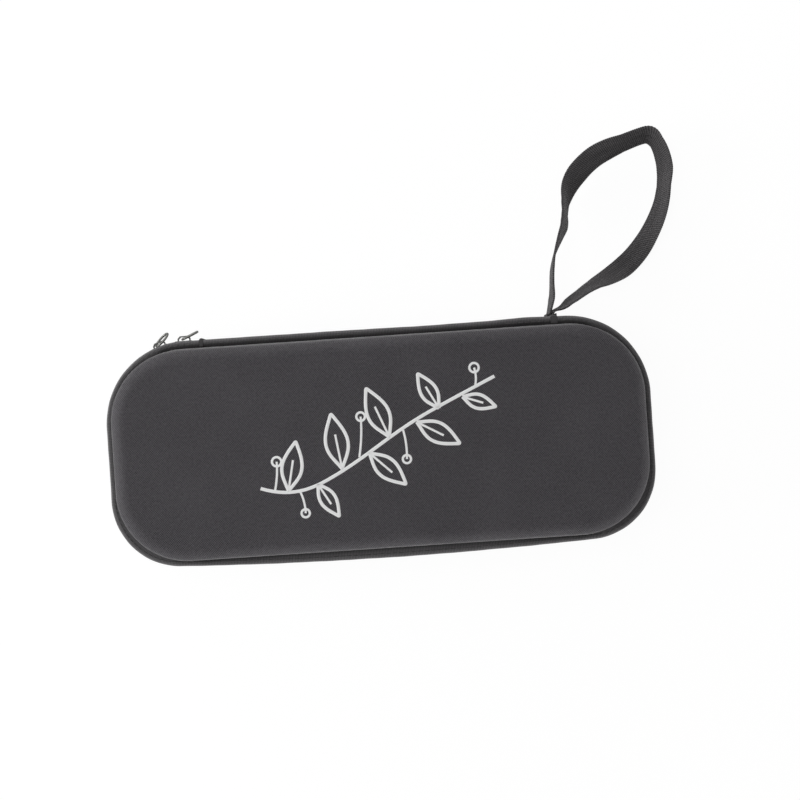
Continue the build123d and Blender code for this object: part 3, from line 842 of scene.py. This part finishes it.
def rim_line(inset):
    """Points round the shells' rim drawn in by inset, in mm, starting at the right end's back corner.

    Each is (x, y, turn), where turn is the way round the corner in degrees, or None between corners.
    """
    a, b, r = RIM[0] / 2 - inset, RIM[1] / 2 - inset, max(RIM[2] - inset, 0.5)
    points = []
    for cx, cy, turn, side_end, steps in (
        (a - r, b - r, 0, (r - a, b), LONG_STEPS),
        (r - a, b - r, 90, (-a, r - b), END_STEPS),
        (r - a, r - b, 180, (a - r, -b), LONG_STEPS),
        (a - r, r - b, 270, (a, b - r), END_STEPS),
    ):
        for k in range(CORNER_STEPS + 1):
            degrees = turn + 90 * k / CORNER_STEPS
            t = math.radians(degrees)
            points.append((cx + r * math.cos(t), cy + r * math.sin(t), degrees))
        x, y, _ = points[-1]
        for k in range(1, steps):
            f = k / steps
            points.append((x + (side_end[0] - x) * f, y + (side_end[1] - y) * f, None))
    return points


# Distances from the parting, from the lining's mouth down its wall.
LINING_MOUTH = 5.2
LINING_STEPS = (LINING_MOUTH, 7.5, 10, 12.5, 15)
LINING_INSET = 3.223  # at the mouth, from the shells' rim
WALL_LEAN = math.tan(math.radians(5.5))
LINING_OUTER = (0.06, 4.5)  # the cloth's two faces: how far from the shell, and the bend's radius
LINING_INNER = (0.55, 4.05)
LINING_STEP = 3  # about how far apart its rings are, for the cloth map


def lining_profile(skin, bend):
    """One face of a lining from its mouth to its floor, as (inset, distance from the parting)."""
    start = LINING_INSET + skin
    top = PARTING - SHELL_FLOOR - skin
    line = [(start + (z - LINING_MOUTH) * WALL_LEAN, z) for z in (*LINING_STEPS, top - bend)]
    edge = line[-1][0]
    for t in np.linspace(0.2, math.pi / 2, 8):
        line.append((edge + bend * (1 - math.cos(t)), top - bend + bend * math.sin(t)))
    return line + [(edge + bend + 3, top), (edge + bend + 9, top)]


def pleat_depth(turn, rise):
    """How far the cloth gathers where it is pressed into a corner, in mm."""
    depth = 0.11 * math.sin(math.radians(turn % 90) * 2) * math.sin(math.radians(turn * 9)) ** 2
    from_mouth, from_floor = min(1, max(0, (rise - 8) / 6)), min(1, max(0, (21.4 - rise) / 2 + 0.3))
    return depth * (from_mouth * from_floor)


def lining_mesh(name, side):
    """The bag of a lining: its outer face, then its inner face, which has the pleats."""
    outer, inner = lining_profile(*LINING_OUTER), lining_profile(*LINING_INNER)
    rings = []
    for (inset, rise), pleated in [(p, False) for p in reversed(outer)] + [(p, True) for p in inner]:
        ring = []
        for x, y, turn in rim_line(inset):
            if pleated and turn is not None:
                depth = pleat_depth(turn, rise)
                x, y = x * (1 - depth / 120), y * (1 - depth / 60)
            ring.append((x, y, PARTING + side * rise))
        rings.append(ring)
    return loft_mesh(name, rings, [LINING_STEP * i for i in range(len(rings))])


for side, body, cad_name in ((1, "lid", "lid_lining"), (-1, "base", "base_lining")):
    lining = add_object(cad_name + "_knit", lining_mesh(cad_name + "_knit", side), KNIT_LINING)
    put_on(lining, body, cad_name)


# ---------------------------------------------------------------- net pocket in the lid
POCKET_FRONT, POCKET_BACK = -24.7, 51.3
POCKET_INSET = 3.9  # its edge tape runs this far in from the shells' rim
POCKET_CORNER = RIM[2] - POCKET_INSET
NET_UP = 30.95
NET_MARGIN = 1.0  # the net's cells stop this far inside the tape
HEM_COVERS = 5.5  # and this far behind the hem's front edge
NET_CELL, NET_SAG = 3.0, 0.25
NET_LAID = (280, 80)  # the cells are laid over this much and cut to the pocket
NET_HALF_X = 134


def in_pocket(x, y):
    """True where the net has a cell."""
    px = abs(x) - (RIM[0] / 2 - POCKET_INSET - NET_MARGIN) + POCKET_CORNER
    py = abs(y) - (RIM[1] / 2 - POCKET_INSET - NET_MARGIN) + POCKET_CORNER
    outside = math.hypot(max(px, 0), max(py, 0)) + min(max(px, py), 0) - POCKET_CORNER
    return outside < 0 and y > POCKET_FRONT + HEM_COVERS


def net_sag(x, y):
    """How far the net hangs here, in mm: most in the middle and nothing at its edges."""
    share = min(1, max(0, (y - POCKET_FRONT) / (POCKET_BACK - POCKET_FRONT)))
    return max(0, NET_SAG * (1 - (x / NET_HALF_X) ** 2) * math.sin(math.radians(180 * share)))


def honeycomb():
    """The net's drawing: a honeycomb cut to the pocket, hanging a little between its edges."""
    wide, tall = NET_CELL * math.sqrt(3) / 2, NET_CELL * 0.75
    found, edges = {}, set()

    def corner(x, y):
        """The number of the corner here. Corners within a twentieth of a mm are one."""
        key = (round(x * 20), round(y * 20))
        if key not in found:
            found[key] = (len(found), x, y)
        return found[key][0]

    for row in range(int(NET_LAID[1] / tall) + 2):
        for column in range(int(NET_LAID[0] / wide) + 2):
            cx = wide * (column + 0.5 * (row % 2)) - NET_LAID[0] / 2
            cy = POCKET_FRONT + tall * row
            if not in_pocket(cx, cy):
                continue
            ring = []
            for k in range(6):
                a = math.radians(60 * k + 30)
                ring.append(corner(cx + NET_CELL / 2 * math.cos(a), cy + NET_CELL / 2 * math.sin(a)))
            for a, b in zip(ring, ring[1:] + ring[:1]):
                edges.add((min(a, b), max(a, b)))
    points = [(x * MM, y * MM, (NET_UP - net_sag(x, y)) * MM) for _, x, y in sorted(found.values())]
    mesh = bpy.data.meshes.new("net_drawing")
    mesh.from_pydata(points, sorted(edges), [])
    return mesh


net_cords = net_tree("net_cords", NET_CORD)
net = grow("pocket_net", honeycomb(), net_cords, Cord_width=0.9 * MM, Half_thickness=0.2 * MM)
put_on(net, "lid", "mesh_pocket")

# The tape that holds the net round the back and both ends, as (in from its outer edge, height).
EDGE_TAPE = (
    (0.02, 30.5), (0.2, 30.72), (1.6, 30.76), (3.0, 30.72),
    (3.18, 30.5), (3.0, 30.28), (1.6, 30.25), (0.2, 30.28),
)
edge_line = [p[:2] for p in rim_line(POCKET_INSET)]
# it starts on the right end, so the loop's last stretch, up that end, comes first and last
edge_line = edge_line[-END_STEPS:] + edge_line[:-END_STEPS] + [edge_line[-END_STEPS]]
edge_line = [p for p in edge_line if p[1] > POCKET_FRONT + 0.05]
edge_line = [(edge_line[0][0], POCKET_FRONT)] + edge_line + [(edge_line[-1][0], POCKET_FRONT)]
tape_rings, tape_lengths, run = [], [], 0.0
for i, p in enumerate(edge_line):
    before, after = edge_line[max(i - 1, 0)], edge_line[min(i + 1, len(edge_line) - 1)]
    way = Vector((after[0] - before[0], after[1] - before[1])).normalized()
    inward = Vector((-way.y, way.x))
    run += math.dist(before, p) if i else 0
    tape_rings.append([(p[0] + inward.x * n, p[1] + inward.y * n, z) for n, z in EDGE_TAPE])
    tape_lengths.append(run)
net_tape = add_object("pocket_edge_tape", loft_mesh("pocket_edge_tape", tape_rings, tape_lengths), BIAS_TAPE)
put_on(net_tape, "lid", "pocket_binding")

HEM_HALF_X, HEM_DEPTH = 131.0, 7.0
HEM_STEPS = 360
# The two faces of the hem's section, as (how far behind its front edge, height).
HEM_TOP = (
    (0, 30.55), (0.25, 31.0), (1.4, 31.05), (HEM_DEPTH / 2, 30.9),
    (HEM_DEPTH - 1.2, 31.05), (HEM_DEPTH, 30.75),
)
HEM_UNDER = (
    (HEM_DEPTH, 30.35), (HEM_DEPTH - 1.2, 30.08), (HEM_DEPTH / 2, 30.2), (1.4, 30.08), (0.25, 30.12),
)


def hem_ring(x):
    """The elastic hem here: its gathers swell it and thin it by turns."""
    ruck = 0.14 * math.sin(x * 2.4) + 0.07 * math.sin(x * 5.1 + 1)
    ring = [(x, POCKET_FRONT + n, z + ruck) for n, z in HEM_TOP]
    return ring + [(x, POCKET_FRONT + n, z - ruck) for n, z in HEM_UNDER]


hem_xs = [-HEM_HALF_X + 2 * HEM_HALF_X * i / HEM_STEPS for i in range(HEM_STEPS + 1)]
hem_rings, hem_lengths = [hem_ring(x) for x in hem_xs], [x + HEM_HALF_X for x in hem_xs]
hem = add_object("pocket_elastic_hem", loft_mesh("pocket_elastic_hem", hem_rings, hem_lengths), ELASTIC)
put_on(hem, "lid", "pocket_hem")

# ---------------------------------------------------------------- elastic band across the base
LINING_TOP = 3.95  # the base lining's inner face
ELASTIC_HALF_Y, ELASTIC_HALF_X = 42, 12.4
FREE_HALF_Y, FREE_ARCH = 34, 2.4  # between its patches the band is free, and it arches
SEWN_UP = 0.7  # the patches hold it this far above the lining
ELASTIC_STEPS = 168


def elastic_ring(y):
    """The elastic band's section here: sewn flat at its ends, arched and a little narrower between."""
    free = abs(y) < FREE_HALF_Y
    rise = FREE_ARCH * (1 - (y / FREE_HALF_Y) ** 2) if free else 0.0
    z = LINING_TOP + SEWN_UP + rise
    pull = 0.1 * math.sin(y * 2.2)
    half = ELASTIC_HALF_X - 0.25 * math.cos(y / FREE_HALF_Y * math.pi / 2) ** 2 * free
    ring = [(half, z + 0.25), (half, z + 0.95), (half - 0.5, z + 1.2)]
    ring += [(x, z + 1.16 + pull * 0.4) for x in np.linspace(half - 2, 2 - half, 9)]
    ring += [(0.5 - half, z + 1.2), (-half, z + 0.95), (-half, z + 0.25), (0.5 - half, z + 0.02)]
    ring += [(x, z + 0.04) for x in np.linspace(2 - half, half - 2, 9)]
    ring += [(half - 0.5, z + 0.02)]
    return [(x, y, up) for x, up in ring]


elastic_ys = [
    -ELASTIC_HALF_Y + 2 * ELASTIC_HALF_Y * i / ELASTIC_STEPS for i in range(ELASTIC_STEPS + 1)
]
band_rings, band_lengths = [elastic_ring(y) for y in elastic_ys], [y + ELASTIC_HALF_Y for y in elastic_ys]
band = add_object("retaining_elastic", loft_mesh("retaining_elastic", band_rings, band_lengths), ELASTIC)
put_on(band, "base", "elastic_band")


PATCH_HALF_X, PATCH_HALF_Y, PATCH_CORNER = 14.5, 4.0, 1.0
PATCH_Y = 38
# From the lining up: inset, height, and how far that is along the cloth map.
PATCH_STEPS = ((0.5, 3.96, 0), (0.1, 4.1, 0.2), (0.0, 4.35, 0.5), (0.15, 4.55, 0.8), (0.6, 4.65, 1.2))
CORNER_POINTS = 6


def patch_mesh(y):
    """A rounded reinforcing patch under one end of the elastic."""
    rings = []
    for inset, z, _ in PATCH_STEPS:
        a, b, r = PATCH_HALF_X - inset, PATCH_HALF_Y - inset, PATCH_CORNER
        ring = []
        for cx, cy, turn in ((a - r, b - r, 0), (r - a, b - r, 90), (r - a, r - b, 180), (a - r, r - b, 270)):
            for k in range(CORNER_POINTS):
                t = math.radians(turn + 90 / (CORNER_POINTS - 1) * k)
                ring.append((cx + r * math.cos(t), y + cy + r * math.sin(t), z))
        rings.append(ring)
    return loft_mesh("patch", rings, [run for _, _, run in PATCH_STEPS])


patches = joined("elastic_patch_cloth", [patch_mesh(PATCH_Y), patch_mesh(-PATCH_Y)], SEAM_CLOTH)
put_on(patches, "base", "elastic_patches")

# the rows' places along the elastic, and their stitches' places across it
SEWN_ROWS_Y, SEWN_SIDE_Y, PATCH_ROW_Y = (36.2, 40.2), 38.2, 34.7
SEWN_XS, SEWN_SIDE_XS, PATCH_ROW_XS = np.arange(-11, 11.1, 3.1), (-11.2, 11.2), np.arange(-13, 13.1, 2.9)
ELASTIC_SEWN_UP, PATCH_SEWN_UP = 5.92, 4.68  # just proud of the elastic and of the patch


def elastic_stitches():
    """At each end: two rows across the elastic, one stitch down either side, and the patch's own row."""
    points, turns = [], []
    for end in (-1, 1):
        for y in SEWN_ROWS_Y:
            points += [(x, end * y, ELASTIC_SEWN_UP) for x in SEWN_XS]
        turns += [(0, 0, 0)] * (len(points) - len(turns))
        points += [(x, end * SEWN_SIDE_Y, ELASTIC_SEWN_UP) for x in SEWN_SIDE_XS]
        turns += [(0, 0, math.pi / 2)] * len(SEWN_SIDE_XS)
        points += [(x, end * PATCH_ROW_Y, PATCH_SEWN_UP) for x in PATCH_ROW_XS]
        turns += [(0, 0, 0)] * (len(points) - len(turns))
    return points, turns


drawing = point_mesh("elastic_stitches", *elastic_stitches())
row = grow("elastic_stitches", drawing, stitch_tree, Piece=stitch, Size=0.9)
put_on(row, "base", None)

# the small stitches that hold the strap's two ends in the root
TACK_XS, TACK_ZS = (92.26, 97.04), np.arange(12.6, 23.6, 1.5)
tacks = [(x, ROOT_FRONT, z) for x in TACK_XS for z in TACK_ZS]
drawing = point_mesh("root_tacks", tacks, [(0, math.pi / 2, 0)] * len(tacks))
put_on(grow("root_tacks", drawing, stitch_tree, Piece=stitch, Size=0.5), "base", None)


# ---------------------------------------------------------------- wrist strap
# Metres from the origin, and the lean of the webbing from standing on edge, in degrees.
STRAP = [
    (0.0936, 0.0611, 0.0180, 0),
    (0.0963, 0.0696, 0.0180, -6),
    (0.0966, 0.0770, 0.0176, -1),
    (0.0975, 0.0862, 0.0162, 0),
    (0.0996, 0.0945, 0.0142, 6),
    (0.1033, 0.1028, 0.0118, 17),
    (0.1070, 0.1103, 0.0096, 26),
    (0.1076, 0.1171, 0.0082, 20),
    (0.1083, 0.1233, 0.0069, 27),
    (0.1111, 0.1316, 0.0052, 53),
    (0.1169, 0.1394, 0.0036, 79),
    (0.1254, 0.1468, 0.0029, 79),
    (0.1339, 0.1506, 0.0040, 62),
    (0.1422, 0.1531, 0.0049, 42),
    (0.1505, 0.1558, 0.0054, 39),
    (0.1568, 0.1571, 0.0056, 38),
    (0.1606, 0.1523, 0.0059, 23),
    (0.1630, 0.1457, 0.0057, 28),
    (0.1643, 0.1374, 0.0055, 32),
    (0.1628, 0.1281, 0.0058, 25),
    (0.1612, 0.1198, 0.0056, 31),
    (0.1578, 0.1108, 0.0052, 41),
    (0.1528, 0.1017, 0.0046, 51),
    (0.1469, 0.0934, 0.0037, 67),
    (0.1390, 0.0859, 0.0034, 79),
    (0.1293, 0.0804, 0.0066, 52),
    (0.1200, 0.0764, 0.0102, 30),
    (0.1130, 0.0724, 0.0132, 22),
    (0.1062, 0.0682, 0.0160, 20),
    (0.1014, 0.0643, 0.0176, 11),
    (0.0956, 0.0632, 0.0180, 2),
    (0.0955, 0.0611, 0.0180, 0),
]


def drawn_line(name, points, order, fineness, cyclic=False, bead=0.0):
    """The mesh of a smooth line with these points, in metres, as its control points.

    A bead makes it a round rod of this radius, and without one it is a bare line.
    """
    data = bpy.data.curves.new(name, "CURVE")
    data.dimensions = "3D"
    line = data.splines.new("NURBS")
    line.points.add(len(points) - 1)
    for at, p in zip(line.points, points):
        at.co = (*p, 1)
    line.order_u = order
    line.use_endpoint_u = not cyclic
    line.use_cyclic_u = cyclic
    line.resolution_u = fineness
    data.bevel_depth = bead
    data.bevel_resolution = 3
    data.use_fill_caps = bead > 0
    holder = add_object(name, data)
    bpy.context.view_layer.update()
    mesh = bpy.data.meshes.new_from_object(holder)
    bpy.data.objects.remove(holder)
    return mesh


def share_along(points):
    """How far along the line each point is, from 0 to 1, and the line's length."""
    steps = [0.0]
    for a, b in zip(points, points[1:]):
        steps.append(steps[-1] + (Vector(b[:3]) - Vector(a[:3])).length)
    return [s / steps[-1] for s in steps], steps[-1]


route = drawn_line("route", [p[:3] for p in STRAP], order=3, fineness=32)
strap_line = [v.co.copy() for v in route.vertices]
line_share, strap_length = share_along(strap_line)
route_share, _ = share_along(STRAP)
leans = np.interp(line_share, route_share, [p[3] for p in STRAP])

# The webbing's section in mm, one face: places across it, and how far from its middle plane.
WIDE = np.array([-5.95, -5.8, -5.3, -3.5, -1.2, 1.2, 3.5, 5.3, 5.8, 5.95])
THICK = np.array([0.22, 0.46, 0.6, 0.65, 0.62, 0.62, 0.65, 0.6, 0.46, 0.22])
SELVEDGE_PITCH, SELVEDGE_LOOP = 0.00105, 0.017
strap_rings = []
for i, p in enumerate(strap_line):
    along = (strap_line[min(i + 1, len(strap_line) - 1)] - strap_line[max(i - 1, 0)]).normalized()
    side = Vector((0, 0, 1)).cross(along).normalized()
    lean = math.radians(leans[i])
    across = along.cross(side) * math.cos(lean) + side * math.sin(lean)
    face = along.cross(across)
    # the selvedge is scalloped, one small loop of weft for each rib
    loop = 1 + SELVEDGE_LOOP * math.sin(2 * math.pi * line_share[i] * strap_length / SELVEDGE_PITCH)
    ring = [p / MM + across * w * loop + face * t for w, t in zip(WIDE, THICK)]
    ring += [p / MM + across * w * loop - face * t for w, t in zip(WIDE[::-1], THICK[::-1])]
    strap_rings.append([tuple(v) for v in ring])
strap_lengths = [s * strap_length / MM for s in line_share]
strap = add_object("strap_webbing", loft_mesh("strap_webbing", strap_rings, strap_lengths), WEBBING)
put_on(strap, "base", "wrist_strap")

# ---------------------------------------------------------------- print on the lid
INK_FLATTENED = 0.09  # a stroke's bead is pressed flat to this share of its height
LID_TOP = 0.05  # metres
STALK_MM, VEIN_MM, BERRY_MM = 1.7, 1.1, 1.2


def ink_line(name, points, width, cyclic=False):
    """A printed stroke: a flat rounded bead of ink on the lid's top. Its points are (x, y) in mm."""
    places = [(x * MM, y * MM, 0) for x, y in points]
    mesh = drawn_line(name, places, order=4, fineness=10, cyclic=cyclic, bead=width / 2 * MM)
    mesh.transform(Matrix.Translation((0, 0, LID_TOP)) @ Matrix.Diagonal((1, 1, INK_FLATTENED, 1)))
    return mesh


# A leaf's outline, as shares of its length and width, from its stalk end and back to it.
SPRIG_LEAF_EDGE = ((0.05, 0.02), (0.3, 0.42), (0.62, 0.4), (0.93, 0.06))
SPRIG_LEAF_BACK = tuple((u, -v) for u, v in reversed(SPRIG_LEAF_EDGE))
SPRIG_LEAF = ((0, 0), *SPRIG_LEAF_EDGE, (1, 0), *SPRIG_LEAF_BACK, (0, 0))
SPRIG_LEAF_WIDTH = 0.5  # as a share of its length


def leaf(x, y, heading, length):
    """The outline of one leaf that grows from here."""
    a, width = math.radians(heading), length * SPRIG_LEAF_WIDTH
    return [(x + u * length * math.cos(a) - v * width * math.sin(a),
             y + u * length * math.sin(a) + v * width * math.cos(a)) for u, v in SPRIG_LEAF]


STEM = ((-62, -19), (-46, -25), (-24, -16), (-2, -2), (18, 11), (38, 20), (60, 30))
# where each leaf grows from the stem, its heading in degrees and its length
LEAVES = (
    (-48, -21.5, 78, 26), (-33, -18.5, -60, 20), (-20, -12, 98, 29), (-6, -4.5, -44, 25),
    (5, 2.5, 112, 28), (19, 9.5, -30, 25), (31, 15.5, 118, 21), (43, 20.7, -20, 18),
)
# each berry's middle, where its stalk leaves the stem, and its radius
BERRIES = (
    ((-53, -6), (-55, -21.5), 2.6), ((-40, -33), (-42, -22), 2.3), ((-9, 14), (-11, -6.5), 2.4),
    ((13, -9), (12, 6), 2.3), ((50, 35), (50, 25.8), 2.6),
)
strokes = [ink_line("stem", STEM, STALK_MM)]
for x, y, heading, length in LEAVES:
    strokes.append(ink_line("leaf", leaf(x, y, heading, length), STALK_MM))
    a = math.radians(heading)
    vein = [(x + f * length * math.cos(a), y + f * length * math.sin(a)) for f in (0.0, 0.3, 0.62)]
    strokes.append(ink_line("vein", vein, VEIN_MM))
for (x, y), (stem_x, stem_y), size in BERRIES:
    stalk = [(stem_x, stem_y), ((stem_x + x) / 2 + 1.2, (stem_y + y) / 2), (x, y)]
    strokes.append(ink_line("sprig", stalk, VEIN_MM))
    turns = np.linspace(0, 2 * math.pi, 8, endpoint=False)
    berry = [(x + size * math.cos(t), y + size * math.sin(t)) for t in turns]
    strokes.append(ink_line("berry", berry, BERRY_MM, cyclic=True))
put_on(joined("lid_print", strokes, PRINT_INK), "lid", None)

for master in (coil_turn, coil_turn_down, stitch):
    bpy.data.objects.remove(master)


# ---------------------------------------------------------------- floor, light and camera
FLOOR_HALF, FLOOR_Z = 30, -0.0003
FLOOR_WHITENED = 0.9  # how much of the floor's look is plain white to the camera
FLOOR_GLOW = 1.05


def white_floor():
    """Paper that takes the case's shadow and otherwise looks white to the camera."""
    paper = new_surface("floor_paper", (0.82, 0.82, 0.82), 0.9)
    seen = node(paper, "ShaderNodeLightPath").outputs["Is Camera Ray"]
    share = calc(paper, "MULTIPLY", seen, FLOOR_WHITENED)
    glow = node(paper, "ShaderNodeEmission")
    glow.inputs["Strength"].default_value = FLOOR_GLOW
    shader = paper.node_tree.nodes["Principled BSDF"]
    mixed = node(paper, "ShaderNodeMixShader", i0=share, i1=shader.outputs[0], i2=glow.outputs[0])
    paper.node_tree.links.new(mixed.outputs[0], paper.node_tree.nodes["Material Output"].inputs[0])
    return paper


floor_mesh = bpy.data.meshes.new("floor")
floor_corners = [(x * FLOOR_HALF, y * FLOOR_HALF, FLOOR_Z) for x, y in ((-1, -1), (1, -1), (1, 1), (-1, 1))]
floor_mesh.from_pydata(floor_corners, [], [(0, 1, 2, 3)])
floor = add_object("floor", floor_mesh, white_floor())

AIM = Vector((0, 0, 0.03))  # every lamp points at the middle of the case
LAMPS = {  # place in metres, size in metres, watts
    "left_softbox": ((-1.35, 0.05, 0.35), (0.9, 0.5), 12.5),
    "overhead_softbox": ((-0.6, 0.1, 1.6), (1.2, 1.0), 7.5),
    "back_softbox": ((-0.3, 1.3, 0.24), (1.2, 0.3), 8),
    "front_softbox": ((0.0, -1.35, 0.1), (1.8, 0.2), 9.5),
    "right_fill": ((1.35, -0.3, 0.1), (0.8, 0.2), 6),
}
for name, (place, size, watts) in LAMPS.items():
    data = bpy.data.lights.new(name, "AREA")
    data.shape = "RECTANGLE"
    data.size, data.size_y = size
    data.energy = watts
    lamp = add_object(name, data)
    lamp.location = place
    lamp.rotation_euler = (AIM - Vector(place)).to_track_quat("-Z", "Y").to_euler()

WORLD_LIGHT, WORLD_SEEN = 0.22, 1.0  # its strength as light, and to the camera and in reflections
world = bpy.data.worlds.new("studio")
bpy.context.scene.world = world
world.use_nodes = True
background = world.node_tree.nodes["Background"]
background.inputs["Color"].default_value = (1, 1, 1, 1)
seen = node(world, "ShaderNodeLightPath").outputs
shown = calc(world, "MAXIMUM", seen["Is Camera Ray"], seen["Is Glossy Ray"])
level = node(world, "ShaderNodeMapRange", i0=shown, i3=WORLD_LIGHT, i4=WORLD_SEEN)
world.node_tree.links.new(level.outputs[0], background.inputs["Strength"])

CAMERA_PLACE = (0.01147, 0.02109, 0.6308)  # in metres, straight above the case
CAMERA_TURN = math.radians(3.8)
SENSOR_MM = 36
FOCAL_SHARE = 1146 / 800  # the focal length as a share of the view's width
camera_data = bpy.data.cameras.new("camera")
camera_data.sensor_width = SENSOR_MM
camera_data.lens = FOCAL_SHARE * SENSOR_MM
camera = add_object("camera", camera_data)
camera.location = CAMERA_PLACE
camera.rotation_euler = (0, 0, -CAMERA_TURN)
bpy.context.scene.camera = camera
bpy.context.scene.view_settings.view_transform = "Standard"
